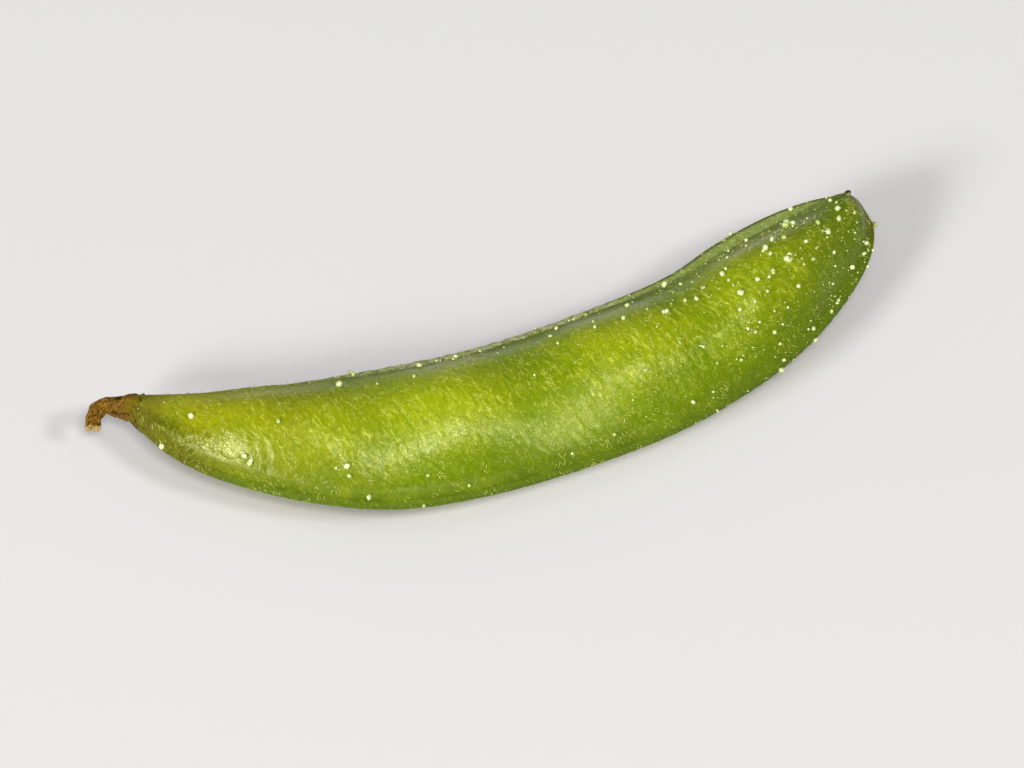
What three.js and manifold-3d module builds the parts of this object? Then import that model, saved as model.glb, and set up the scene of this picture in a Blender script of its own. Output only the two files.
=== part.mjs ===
// A boiled edamame pod, lying on its broad side, with the withered calyx and the hooked stalk
// that it hangs by. Millimetres, +Z up. +X runs from the stalk to the beak, and +Y from the
// bulging seam to the straight seam. The origin is at the middle of the bounding box's base.
import * as THREE from "three";
import { mergeVertices } from "three/addons/utils/BufferGeometryUtils.js";
import Module from "manifold-3d";

const wasm = await Module();
wasm.setup();

// The two seams, seen from above, from the neck (0, 0) to the beak.
const straightSeam = [
  [0.42, 0.85], [6, -0.75], [15, -2.35], [25.5, -3.35], [36, -2.7], [41.5, -1.95],
  [45.5, -0.5], [50.3, 0.8], [55, 1.45], [56.6, 1.45], [57.5, 1.66],
];
const bulgingSeam = [
  [-0.42, -0.85], [1.3, -5.1], [4.8, -9.0], [10.6, -13.1], [17, -15.7], [26, -16.5],
  [36.5, -15.6], [44.8, -13.1], [50.4, -10.2], [54.6, -7.0], [57.2, -4.2], [58.3, -1.9],
  [58.2, -0.3], [57.5, 1.66],
];

// Half the pod's thickness without its beans, as [share of the length, mm] pairs.
const wallThickness = [
  [0, 0.95], [0.05, 1.55], [0.13, 2.6], [0.28, 3.2], [0.5, 3.3],
  [0.7, 3.25], [0.86, 2.75], [0.945, 1.8], [0.985, 0.9], [1, 0.45],
];

// What each bean adds to half the thickness. It lies at a share of the length, spreads that far
// along it, is shifted across by a share of the half width, and is that many millimetres high.
const beans = [
  { at: 0.19, spread: 0.075, across: 0.02, height: 0.9 },
  { at: 0.385, spread: 0.082, across: 0.04, height: 1.3 },
  { at: 0.59, spread: 0.082, across: 0.05, height: 1.3 },
  { at: 0.79, spread: 0.08, across: 0.08, height: 1.5 },
];
const beanWidth = 0.72; // the share of the half width that a bean spreads over

// How a section comes down to each seam: 1 is an oval, and more than 1 pinches it.
const lensPower = { straight: 1.2, bulging: 1.75 };
const neckLength = 0.12; // the share of the length over which the round neck turns to a lens

// The valves meet in a flat margin along each seam. It has its full width after that share of
// the length. Then come half its thickness and how far in its rounded edge reaches.
const straightMargin = { width: 0.7, fullAfter: 0.36, height: 0.5, rounding: 0.42 };
const bulgingMargin = { width: 0.42, fullAfter: 0.12, height: 0.4, rounding: 0.38 };
const marginFade = 0.09; // the share of the length over which the margins narrow before the beak
const marginBlend = 3; // more makes a sharper corner between a margin and the valve

// By the last bean the straight margin widens, and the valve rises from it more gently.
const shelf = { at: 0.84, spread: 0.1, width: 0.4, pinch: 0.7 };

const tipTwist = 13; // degrees that the straight seam rises by at the beak
const twistStart = 0.5;
const restFlat = 0.28; // how far the undersides of the beans are pressed flat by the pod's weight
const tableSize = 100;
const tableDepth = 4;

const jointGap = 0.3; // between pod and calyx, and between calyx and stalk
const calyxLength = 0.9;
const calyxRadius = 0.9;
const calyxLobes = 5;
const lobeHeight = 0.08;
const stalkRadius = 0.62;
const stalkNarrowing = 0.1; // the share that the stalk is thinner by at its broken end

// The stalk's middle line after the calyx, from the calyx's end, before it is moved to its place.
const stalkRoute = [
  [0, 0, 0], [-0.45, 0.1, 0], [-1.0, -0.05, -0.05], [-1.44, -0.45, -0.22], [-1.7, -0.92, -0.38],
  [-1.8, -1.3, -0.5],
];

const podSections = 88;
const tipCrowding = 0.35; // how much closer the sections stand at the beak, where the pod rounds off
const podSides = 40;
const stalkSections = 22;
const stalkSides = 16;
const calyxSections = 7;
const calyxSides = 30;

const smoothStep = (x) => {
  const t = THREE.MathUtils.clamp(x, 0, 1);
  return t * t * (3 - 2 * t);
};

const planCurve = (points) => new THREE.SplineCurve(points.map(([x, y]) => new THREE.Vector2(x, y)));

// A smooth function through [position, value] pairs.
function profile(pairs) {
  const positions = pairs.map(([position]) => position);
  const values = pairs.map(([, value]) => value);
  const curve = new THREE.CubicInterpolant(positions, values, 1);
  return (position) => curve.evaluate(position)[0];
}

// A closed solid from rings of points, with a fan over each end.
function skin(rings, firstPole, lastPole) {
  const sides = rings[0].length;
  const points = [firstPole, ...rings.flat(), lastPole];
  const last = points.length - 1;
  const index = [];
  for (let j = 0; j < sides; j++) {
    const k = (j + 1) % sides;
    index.push(0, 1 + k, 1 + j);
    index.push(last, last - sides + j, last - sides + k);
    for (let i = 0; i < rings.length - 1; i++) {
      const here = 1 + i * sides;
      const next = here + sides;
      index.push(here + j, here + k, next + j);
      index.push(here + k, next + k, next + j);
    }
  }
  return new THREE.BufferGeometry().setFromPoints(points).setIndex(index);
}

// The same geometry as a manifold-3d solid, to cut it.
function solidOf(geometry) {
  const bare = geometry.clone();
  bare.deleteAttribute("normal");
  bare.deleteAttribute("uv");
  const merged = mergeVertices(bare, 1e-4);
  return new wasm.Manifold(
    new wasm.Mesh({
      numProp: 3,
      vertProperties: merged.attributes.position.array,
      triVerts: new Uint32Array(merged.index.array),
    }),
  );
}

function geometryOf(solid) {
  const mesh = solid.getMesh();
  return new THREE.BufferGeometry()
    .setAttribute("position", new THREE.BufferAttribute(mesh.vertProperties, 3))
    .setIndex(new THREE.BufferAttribute(mesh.triVerts, 1));
}

const finish = (colour, roughness) =>
  new THREE.MeshStandardMaterial({ color: colour, roughness, metalness: 0 });

const podSkin = finish("#7f9422", 0.45);
const driedCalyx = finish("#6d5a2c", 0.8);
const driedStalk = finish("#7a5424", 0.75);

// ---- pod ----

const upperRail = planCurve(straightSeam);
const lowerRail = planCurve(bulgingSeam);
const wallAt = profile(wallThickness);

// Half the thickness at a share s of the length and a share t of the half width.
function halfThickness(s, t) {
  let height = wallAt(s);
  for (const bean of beans) {
    const along = (s - bean.at) / bean.spread;
    const across = (t - bean.across) / beanWidth;
    height += bean.height * Math.exp(-along * along - across * across);
  }
  return height;
}

const twist = (s) =>
  THREE.MathUtils.degToRad(tipTwist) * smoothStep((s - twistStart) / (1 - twistStart));

// Half the thickness of a margin at a distance from its seam.
function marginHeight(margin, distance) {
  const left = 1 - Math.min(distance / margin.rounding, 1);
  return margin.height * Math.sqrt(1 - left * left);
}

// A point of the skin at share s of the length. Each section is a lens between the two margins,
// and it is turned about the pod's length by the twist.
function podPoint(s, angle) {
  const upper = upperRail.getPointAt(s);
  const lower = lowerRail.getPointAt(s);
  const middle = upper.clone().add(lower).multiplyScalar(0.5);
  const halfWidth = upper.distanceTo(lower) / 2;
  const outward = upper.clone().sub(lower).normalize();
  const t = Math.cos(angle);
  const margin = t > 0 ? straightMargin : bulgingMargin;
  const fullness = smoothStep(s / margin.fullAfter) * smoothStep((1 - s) / marginFade);
  const shelving = t > 0 ? Math.exp(-(((s - shelf.at) / shelf.spread) ** 2)) : 0;
  const lensWidth = halfWidth - fullness * (margin.width + shelf.width * shelving);
  const lensShare = Math.min((Math.abs(t) * halfWidth) / lensWidth, 1);
  const fullPower =
    lensPower.straight + (lensPower.bulging - lensPower.straight) * smoothStep(0.5 - t);
  const power = 1 + (fullPower - 1) * smoothStep(s / neckLength) + shelf.pinch * shelving;
  const lens = halfThickness(s, t) * (1 - lensShare ** 2) ** (power / 2);
  const plate = fullness * marginHeight(margin, halfWidth * (1 - Math.abs(t)));
  const height =
    Math.sign(Math.sin(angle)) * (lens ** marginBlend + plate ** marginBlend) ** (1 / marginBlend);
  const turn = twist(s);
  const across = halfWidth * t * Math.cos(turn) - height * Math.sin(turn);
  const up = halfWidth * t * Math.sin(turn) + height * Math.cos(turn);
  return new THREE.Vector3(middle.x + outward.x * across, middle.y + outward.y * across, up);
}

const podShare = (i) => {
  const even = i / podSections;
  return even + tipCrowding * even * even * (1 - even);
};

const podRings = [];
for (let i = 0; i < podSections; i++) {
  const s = podShare(i);
  podRings.push(
    Array.from({ length: podSides }, (_, j) => podPoint(s, (2 * Math.PI * j) / podSides)),
  );
}
const beakEnd = upperRail.getPointAt(1);
const neckMiddle = new THREE.Vector3();
const roundPod = skin(podRings, neckMiddle, new THREE.Vector3(beakEnd.x, beakEnd.y, 0));

// The table presses the lowest beans flat: everything below its level is cut off.
roundPod.computeBoundingBox();
const podCentre = roundPod.boundingBox.getCenter(new THREE.Vector3());
const tableLevel = roundPod.boundingBox.min.z + restFlat;
const table = new THREE.BoxGeometry(tableSize, tableSize, tableDepth)
  .translate(podCentre.x, podCentre.y, tableLevel - tableDepth / 2);
const podGeometry = geometryOf(solidOf(roundPod).subtract(solidOf(table)));
const pod = new THREE.Mesh(podGeometry, podSkin);
pod.name = "pod";

// ---- calyx and stalk ----

// The way out of the neck, square to the first section.
const firstSection = upperRail.getPointAt(0).sub(lowerRail.getPointAt(0)).normalize();
const neckAway = new THREE.Vector3(-firstSection.y, firstSection.x, 0);
const neckSide = new THREE.Vector3(firstSection.x, firstSection.y, 0);
const upwards = new THREE.Vector3(0, 0, 1);

// The calyx is a short cup, lobed where it clasps the neck and narrow where the stalk enters.
function calyxPoint(v, angle) {
  const lobes = lobeHeight * Math.cos(calyxLobes * angle) * (1 - v);
  const radius = THREE.MathUtils.lerp(calyxRadius, stalkRadius, smoothStep(v)) + lobes;
  return neckMiddle
    .clone()
    .addScaledVector(neckAway, jointGap + calyxLength * v)
    .addScaledVector(neckSide, radius * Math.cos(angle))
    .addScaledVector(upwards, radius * Math.sin(angle));
}
const calyxRings = [];
for (let i = 0; i <= calyxSections; i++)
  calyxRings.push(
    Array.from({ length: calyxSides }, (_, j) =>
      calyxPoint(i / calyxSections, (-2 * Math.PI * j) / calyxSides),
    ),
  );
const calyxEnd = (distance) => neckMiddle.clone().addScaledVector(neckAway, distance);
const calyx = new THREE.Mesh(
  skin(calyxRings, calyxEnd(jointGap), calyxEnd(jointGap + calyxLength)),
  driedCalyx,
);
calyx.name = "calyx";

// The stalk is a round rod along its route, a little thinner at its broken end.
const stalkStart = calyxEnd(2 * jointGap + calyxLength);
const stalkLine = new THREE.CatmullRomCurve3(
  stalkRoute.map(([x, y, z]) => new THREE.Vector3(x, y, z).add(stalkStart)),
);
const stalkFrames = stalkLine.computeFrenetFrames(stalkSections, false);
const stalkRings = [];
for (let i = 0; i <= stalkSections; i++) {
  const v = i / stalkSections;
  const middle = stalkLine.getPointAt(v);
  const radius = stalkRadius * (1 - stalkNarrowing * v);
  stalkRings.push(
    Array.from({ length: stalkSides }, (_, j) => {
      const angle = (2 * Math.PI * j) / stalkSides;
      return middle
        .clone()
        .addScaledVector(stalkFrames.normals[i], radius * Math.cos(angle))
        .addScaledVector(stalkFrames.binormals[i], radius * Math.sin(angle));
    }),
  );
}
const stalk = new THREE.Mesh(
  skin(stalkRings, stalkLine.getPointAt(0), stalkLine.getPointAt(1)),
  driedStalk,
);
stalk.name = "stalk";

// ---- the whole, moved so that the origin is at the middle of its base ----

const edamame = new THREE.Group();
edamame.add(pod, calyx, stalk);
const bounds = new THREE.Box3().setFromObject(edamame);
edamame.position.set(
  -(bounds.min.x + bounds.max.x) / 2,
  -(bounds.min.y + bounds.max.y) / 2,
  -tableLevel,
);

export default edamame;
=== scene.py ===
import math

import bpy
import numpy as np
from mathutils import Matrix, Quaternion, Vector


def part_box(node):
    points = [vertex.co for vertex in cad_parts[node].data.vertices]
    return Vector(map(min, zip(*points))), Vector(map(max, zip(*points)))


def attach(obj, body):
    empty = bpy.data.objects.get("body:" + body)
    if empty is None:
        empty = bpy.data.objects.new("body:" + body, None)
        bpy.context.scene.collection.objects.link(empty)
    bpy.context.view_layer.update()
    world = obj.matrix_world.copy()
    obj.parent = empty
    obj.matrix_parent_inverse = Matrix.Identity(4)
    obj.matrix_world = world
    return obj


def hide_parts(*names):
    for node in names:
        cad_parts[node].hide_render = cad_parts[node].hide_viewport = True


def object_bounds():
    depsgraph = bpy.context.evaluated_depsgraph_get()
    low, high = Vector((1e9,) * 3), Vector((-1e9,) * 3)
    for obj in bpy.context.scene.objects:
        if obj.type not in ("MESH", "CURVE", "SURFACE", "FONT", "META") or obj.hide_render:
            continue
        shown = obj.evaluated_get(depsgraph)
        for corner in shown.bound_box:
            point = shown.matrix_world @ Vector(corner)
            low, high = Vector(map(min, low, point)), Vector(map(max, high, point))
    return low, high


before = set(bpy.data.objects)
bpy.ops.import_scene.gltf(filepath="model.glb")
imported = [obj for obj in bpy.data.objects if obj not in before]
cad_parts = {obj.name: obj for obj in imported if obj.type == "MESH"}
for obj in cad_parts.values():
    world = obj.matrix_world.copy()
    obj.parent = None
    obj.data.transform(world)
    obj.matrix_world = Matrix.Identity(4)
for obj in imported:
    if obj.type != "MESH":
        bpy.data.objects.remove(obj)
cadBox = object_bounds()

# A boiled, salted edamame pod lying on its broad side. Shapes are worked out in millimetres in
# the pod's own plan: +X from the stalk to the beak, +Y to the straight seam, +Z up.
mm = 0.001
lineCount = 2001  # points of a seam's line


# A soft step: 0 below 0, 1 above 1, and 3x^2 - 2x^3 between.
def smoothStep(x):
    x = np.clip(x, 0, 1)
    return x * x * (3 - 2 * x)


# The same step, from 0 at the start to 1 at the end.
def rise(x, start, end):
    return smoothStep((x - start) / (end - start))


# A bell: e to the minus square of the distance from the centre over the width.
def bell(x, centre, width):
    return np.exp(-(((x - centre) / width) ** 2))


# Evenly spaced angles round a ring.
def ringAngles(count):
    return np.arange(count) * 2 * np.pi / count


# Each vector over its own length.
def unit(vectors):
    return vectors / np.maximum(np.linalg.norm(vectors, axis=-1, keepdims=True), 1e-12)


# A running mean weighted by a bell. Past its ends the line goes on as its half-turned copy, so
# the end points stay where they are.
def softened(values, width):
    reach = int(3 * width)
    weights = bell(np.arange(-reach, reach + 1), 0, width)
    weights /= weights.sum()
    values = np.asarray(values, float)
    before = 2 * values[:1] - values[reach:0:-1]
    after = 2 * values[-1:] - values[-2 : -reach - 2 : -1]
    padded = np.concatenate([before, values, after]).reshape(len(values) + 2 * reach, -1)
    made = np.stack([np.convolve(column, weights, "valid") for column in padded.T], 1)
    return made.reshape(values.shape)


# A smooth line through points: each span is the cubic that leaves both of its ends along the
# chord between their neighbours. It is then stepped evenly by length.
def smoothLine(points, count=lineCount):
    p = np.asarray(points, float)
    p = np.vstack([p[:1], p, p[-1:]])
    spans = len(p) - 3
    at = np.linspace(0, spans, count)
    first = np.minimum(at.astype(int), spans - 1)
    f = (at - first)[:, None]
    a, b, c, d = p[first], p[first + 1], p[first + 2], p[first + 3]
    cubic = (2 * a - 5 * b + 4 * c - d) * f**2 + (3 * b - a - 3 * c + d) * f**3
    line = 0.5 * (2 * b + (c - a) * f + cubic)
    length = np.r_[0, np.cumsum(np.linalg.norm(np.diff(line, axis=0), axis=1))]
    even = np.linspace(0, length[-1], count)
    return np.stack([np.interp(even, length, column) for column in line.T], 1)


# Rolling unevenness about as high as given: the sum of a count of sine waves with lengths between
# the shortest and the longest. "along" gives the direction in plan that the crests follow, or
# None for any, "spread" how far they stray from it, and "tilt" how far they lean out of the plan.
def rolling(points, height, count, shortest, longest, seed, along=None, spread=0, tilt=0.4):
    rng = np.random.default_rng(seed)
    total = np.zeros(points.shape[:-1])
    for _ in range(count):
        direction = unit(rng.normal(size=3))
        if along is not None:
            turn = along + math.pi / 2 + spread * rng.normal()
            direction = np.array([math.cos(turn), math.sin(turn), tilt * rng.normal()])
        length = math.exp(rng.uniform(math.log(shortest), math.log(longest)))
        total += np.sin(points @ direction * (2 * math.pi / length) + rng.uniform(0, 2 * math.pi))
    return height * (total / math.sqrt(count / 2))


# Waves round a piece. Each row adds its height times the cosine of count x angle + twist x along
# + phase.
def wavesRound(rows, angle, along=0):
    total = 0
    for height, count, twist, phase in rows:
        total = total + height * np.cos(count * angle + twist * along + phase)
    return total


# An object of that name in the scene.
def addObject(name, data):
    made = bpy.data.objects.new(name, data)
    bpy.context.scene.collection.objects.link(made)
    return made


# A mesh from points in millimetres, with a corner map named as the pieces' own UV map.
def makeMesh(name, points, faces, cornerMap=None, fields=None):
    mesh = bpy.data.meshes.new(name)
    mesh.from_pydata((points * mm).tolist(), [], faces)
    if cornerMap is not None:
        layer = mesh.uv_layers.new(name="OFBake")
        layer.uv.foreach_set("vector", cornerMap.astype(np.float32).ravel())
    for field, values in (fields or {}).items():
        made = mesh.attributes.new(field, "FLOAT", "POINT")
        made.data.foreach_set("value", values.astype(np.float32).ravel())
    mesh.polygons.foreach_set("use_smooth", np.ones(len(mesh.polygons), bool))
    mesh.update()
    return addObject(name, mesh)


# A tube of rings closed by a point at each end: the middle of the end ring, if not given. Its
# corner map runs 0 to 1 along and 0 to 1 around, and fields give a value for each ring point.
def makeTube(name, rings, fields, along=None, ends=None):
    count, sides, _ = rings.shape
    ends = rings[[0, -1]].mean(axis=1) if ends is None else ends
    along = np.linspace(0, 1, count) if along is None else along
    row, side = np.divmod(np.arange((count - 1) * sides), sides)
    following = (side + 1) % sides
    here, there = 1 + row * sides, 1 + (row + 1) * sides
    quads = np.stack([here + side, here + following, there + following, there + side], 1)
    u = np.stack([along[row], along[row], along[row + 1], along[row + 1]], 1)
    v = np.stack([side, side + 1, side + 1, side], 1) / sides
    j = np.arange(sides)
    k = (j + 1) % sides
    last = 1 + count * sides
    nearCap = np.stack([0 * j, 1 + k, 1 + j], 1)
    farCap = np.stack([0 * j + last, last - sides + j, last - sides + k], 1)
    near, far = np.zeros(sides), np.ones(sides)
    nearMap = np.stack([near, j + 0.5, near, j + 1, near, j], 1)
    farMap = np.stack([far, j + 0.5, far, j, far, j + 1], 1)
    capMap = np.concatenate([nearMap, farMap]).reshape(-1, 2) / (1, sides)
    cornerMap = np.concatenate([np.stack([u, v], 2).reshape(-1, 2), capMap])
    points = np.vstack([ends[:1], rings.reshape(-1, 3), ends[1:]])
    faces = quads.tolist() + nearCap.tolist() + farCap.tolist()
    # The end points get the value of the ring beside them.
    fields = {field: np.r_[given[0], given, given[-1]] for field, given in fields.items()}
    return makeMesh(name, points, faces, cornerMap, fields)


# A material's nodes by short calls. Colours go by their names in the piece's look, sizes and
# depths are in millimetres.
class Recipe:
    def __init__(self, name, look):
        self.look = look
        self.material = bpy.data.materials.new(name)
        self.material.use_nodes = True
        self.nodes = self.material.node_tree.nodes
        self.links = self.material.node_tree.links
        self.shader = self.nodes["Principled BSDF"]

    # A node with its settings, and its inputs by name, with _ for a space.
    def add(self, kind, settings=None, **inputs):
        node = self.nodes.new(kind)
        for name, value in (settings or {}).items():
            setattr(node, name, value)
        for name, value in inputs.items():
            self.put(node.inputs[name.replace("_", " ")], value)
        return node

    # Gives a socket a link, a number or the colour of a name.
    def put(self, socket, value):
        if isinstance(value, bpy.types.NodeSocket):
            self.links.new(value, socket)
        else:
            socket.default_value = (*self.look[value], 1) if isinstance(value, str) else value

    # A value that the mesh holds at its points.
    def field(self, name):
        return self.add("ShaderNodeAttribute", {"attribute_name": name}).outputs["Fac"]

    def coordinates(self, source="Object"):
        return self.add("ShaderNodeTexCoord").outputs[source]

    # Points turned back by the turn, over the size.
    def place(self, size, turn=0, given=None):
        return self.add(
            "ShaderNodeMapping", {"vector_type": "TEXTURE"}, Vector=given or self.coordinates(),
            Rotation=(0, 0, turn), Scale=np.broadcast_to(size, 3) * mm,
        ).outputs["Vector"]

    # Noise whose grain has the given size, as one number or along, across and up.
    def noise(self, size, detail, rough, warp=0.0, turn=0, given=None):
        return self.add(
            "ShaderNodeTexNoise", Vector=self.place(size, turn, given), Scale=1,
            Detail=detail, Roughness=rough, Distortion=warp,
        ).outputs["Fac"]

    # A soft step of a value from low to high, giving start to end.
    def ramp(self, value, low, high, start=0.0, end=1.0):
        made = self.add("ShaderNodeMapRange", {"interpolation_type": "SMOOTHSTEP"}, Value=value)
        for place, number in enumerate((low, high, start, end), 1):
            made.inputs[place].default_value = number
        return made.outputs["Result"]

    # Arithmetic by the name of its operation.
    def math(self, operation, *values):
        made = self.add("ShaderNodeMath", {"operation": operation})
        for socket, value in zip(made.inputs, values):
            self.put(socket, value)
        return made.outputs[0]

    def times(self, first, second):
        return self.math("MULTIPLY", first, second)

    def plus(self, first, second):
        return self.math("ADD", first, second)

    # Lays a colour over what is there, by the product of the shares.
    def lay(self, colour, share, *others):
        for other in others:
            share = self.times(share, other)
        self.colour = self.blend(share, self.colour, colour)

    # The first colour at a share of 0, and the second at 1.
    def blend(self, share, first, second):
        made = self.add("ShaderNodeMix", {"data_type": "RGBA"})
        for place, value in ((0, share), (6, first), (7, second)):
            self.put(made.inputs[place], value)
        return made.outputs[2]

    # A normal tilted by the slope of a height, on top of the one under it.
    def bump(self, height, depth, strength=1.0, under=None):
        made = self.add("ShaderNodeBump", Height=height, Distance=depth * mm, Strength=strength)
        if under is not None:
            self.put(made.inputs["Normal"], under)
        return made.outputs["Normal"]

    # The material, once its surface's sockets are set.
    def finish(self, **sockets):
        for name, value in sockets.items():
            self.put(self.shader.inputs[name.replace("_", " ")], value)
        return self.material


# The pod's two seams and its beans, with places along it as shares of its length.
podForm = {
    "straightSeam": [
        (0.42, 0.85), (6, -0.75), (15, -2.35), (25.5, -3.35), (36, -2.7), (41.5, -1.95),
        (45.5, -0.5), (50.3, 0.8), (55, 1.45), (56.6, 1.45), (57.5, 1.66),
    ],
    "bulgingSeam": [
        (-0.42, -0.85), (1.3, -5.1), (4.8, -9.0), (10.6, -13.1), (17, -15.7), (26, -16.5),
        (36.5, -15.6), (44.8, -13.1), (50.4, -10.2), (54.6, -7.0), (57.2, -4.2), (58.3, -1.9),
        (58.2, -0.3), (57.5, 1.66),
    ],
    "wall": [  # half the thickness without beans, by share of the length
        (0, 0.95), (0.05, 1.55), (0.13, 2.6), (0.28, 3.2), (0.5, 3.3),
        (0.7, 3.25), (0.86, 2.75), (0.945, 1.8), (0.985, 0.9), (1, 0.45),
    ],
    "beans": [  # place along, spread along, shift across, height
        (0.19, 0.075, 0.02, 0.9), (0.385, 0.082, 0.04, 1.3),
        (0.59, 0.082, 0.05, 1.3), (0.79, 0.08, 0.08, 1.5),
    ],
    "beanWidth": 0.72,
    "fullBean": 1.3,  # the height at which a bean's share is 1
    "lensPower": (1.2, 1.75),  # towards the straight seam and towards the bulging one
    "neckLength": 0.12,
    # A margin's width, the share of the length after which it is full, its half thickness and
    # how far in its rounded edge reaches.
    "straightMargin": {"width": 0.7, "fullAfter": 0.36, "height": 0.5, "rounding": 0.42},
    "bulgingMargin": {"width": 0.42, "fullAfter": 0.12, "height": 0.4, "rounding": 0.38},
    "marginFade": 0.09,
    # By the last bean the straight margin is wider and the valve rises from it more gently:
    # place along, spread, more width, more pinch.
    "shelf": {"place": 0.84, "spread": 0.1, "width": 0.4, "pinch": 0.7},
    # How sharply the margins join the valve, how sharply at the shelf, and the latter's spread.
    "marginBlend": {"usual": 2, "atShelf": 1.3, "spread": 0.16},
    "tipTwist": 13,  # degrees
    "twistStart": 0.5,
    "restFlat": 0.28,
    "restEdge": 0.05,  # how softly the pressed underside turns up
    "tipStart": 0.97,  # from here the end closes in on the dried tip
    "tipEnd": 1.004,
    "tipRadius": (0.22, 0.12),
    "tipWay": (0.6, 0.35, 0.05),
    # The lie of the hairs in radians from the pod's length towards the bulging seam: before the
    # turn, after it, and the shares of the length where the turn starts and ends.
    "hairLie": (1.3, 0.5, 0.62, 0.82),
    "seamSmoothing": (0.56, 0.7),  # where the rough straight seam starts to be smooth, and is
}

lineSteps = np.linspace(0, 1, lineCount)
upperRail = softened(smoothLine(podForm["straightSeam"]), 16)
lowerRail = softened(smoothLine(podForm["bulgingSeam"]), 16)
wallLine = softened(np.interp(lineSteps, *np.array(podForm["wall"]).T), 40)
podLength = np.linalg.norm(upperRail[-1] - upperRail[0])


# The point, or points, at the share s of a line.
def alongLine(line, s):
    return np.stack([np.interp(s, lineSteps, column) for column in line.T], -1)


# The lie of the hairs at s: steep on the first three beans, then turning towards the beak.
def lieAt(s):
    first, last, start, end = podForm["hairLie"]
    return first + (last - first) * rise(s, start, end)


# How smooth the straight seam is at s, 0 to 1.
def seamSmoothness(s):
    return rise(s, *podForm["seamSmoothing"])


# How full the beans make the skin at s along and t across, 0 to about 1.
def beanShare(s, t):
    total = np.zeros(np.broadcast(s, t).shape)
    for place, spread, shift, height in podForm["beans"]:
        share = bell(s, place, spread) * bell(t, shift, podForm["beanWidth"])
        total += height / podForm["fullBean"] * share
    return total


# Millimetres across the valve from the nearer seam.
def fromSeam(s, angle):
    width = np.linalg.norm(alongLine(upperRail, s) - alongLine(lowerRail, s), axis=-1) / 2
    return width * (1 - np.abs(np.cos(angle)))


# A measure of the margin at the straight seam or at the bulging one.
def marginMeasure(name, straight):
    return np.where(straight, podForm["straightMargin"][name], podForm["bulgingMargin"][name])


# How full the flat margin at a seam is, 0 at the neck and at the beak, and its width.
def marginWidth(s, straight):
    shelf = podForm["shelf"]
    fullness = smoothStep(s / marginMeasure("fullAfter", straight))
    fullness = fullness * smoothStep((1 - s) / podForm["marginFade"])
    more = np.where(straight, shelf["width"] * bell(s, shelf["place"], shelf["spread"]), 0)
    return fullness, fullness * (marginMeasure("width", straight) + more)


# The pod without its fine relief. A section is a lens between the two margins: across it goes
# the half width times the angle's cosine. Up it goes the half thickness times a power of one
# less the square of the share across the lens, joined to the margin's rounded plate. The plate's
# height passes from one margin's to the other's over the crest. The section turns with the
# twist, and at the beak it shrinks to the round dried tip.
def podBody(s, angle):
    form = podForm
    inside = np.clip(s, 0, 1)
    upper, lower = alongLine(upperRail, inside), alongLine(lowerRail, inside)
    middle, halfWidth = (upper + lower) / 2, np.linalg.norm(upper - lower, axis=-1) / 2
    steady = np.minimum(inside, form["tipStart"])
    outward = unit(alongLine(upperRail, steady) - alongLine(lowerRail, steady))
    t, straight = np.cos(angle), np.cos(angle) > 0
    _, margin = marginWidth(inside, straight)
    share = np.minimum(np.abs(t) * halfWidth / np.maximum(halfWidth - margin, 1e-6), 1)
    shelf, joining = form["shelf"], form["marginBlend"]
    steep, gentle = form["lensPower"]
    power = steep + (gentle - steep) * smoothStep(0.5 - t)
    power = 1 + (power - 1) * smoothStep(inside / form["neckLength"])
    shelving = bell(inside, shelf["place"], shelf["spread"])
    power = power + np.where(straight, shelf["pinch"] * shelving, 0)
    thickness = np.interp(inside, lineSteps, wallLine) + form["fullBean"] * beanShare(inside, t)
    lens = thickness * (1 - share**2) ** (power / 2)
    below, above = (
        marginWidth(inside, side)[0] * marginMeasure("height", side) for side in (False, True)
    )
    high = below + (above - below) * smoothStep(0.5 + t)
    rounding = marginMeasure("rounding", straight)
    left = 1 - np.minimum(halfWidth * (1 - np.abs(t)) / rounding, 1)
    plate = high * np.sqrt(1 - left**2)
    softer = bell(inside, shelf["place"], joining["spread"]) * straight
    blend = joining["usual"] + (joining["atShelf"] - joining["usual"]) * softer
    height = np.sign(np.sin(angle)) * (lens**blend + plate**blend) ** (1 / blend)
    turn = math.radians(form["tipTwist"]) * rise(inside, form["twistStart"], 1)
    across = halfWidth * t * np.cos(turn) - height * np.sin(turn)
    up = halfWidth * t * np.sin(turn) + height * np.cos(turn)
    body = np.concatenate([middle + outward * across[..., None], up[..., None]], -1)
    past = rise(s, form["tipStart"], 1)
    wide, narrow = form["tipRadius"]
    radius = wide + (narrow - wide) * rise(s, 1, form["tipEnd"])
    centre = np.array([*upperRail[-1], 0]) + np.array(form["tipWay"]) * ((s - 1) * podLength)[..., None]
    sideways = np.concatenate([outward * t[..., None], np.sin(angle)[..., None]], -1)
    tip = centre + radius[..., None] * sideways
    return body + (tip - body) * past[..., None]


# The two tangents of the bare form, by small steps along and around, and the outward normal.
def podTangents(s, angle):
    step = 1e-3
    alongS = (podBody(s + step, angle) - podBody(s - step, angle)) / (2 * step)
    around = (podBody(s, angle + step) - podBody(s, angle - step)) / (2 * step)
    return alongS, around, unit(np.cross(around, alongS))


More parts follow.
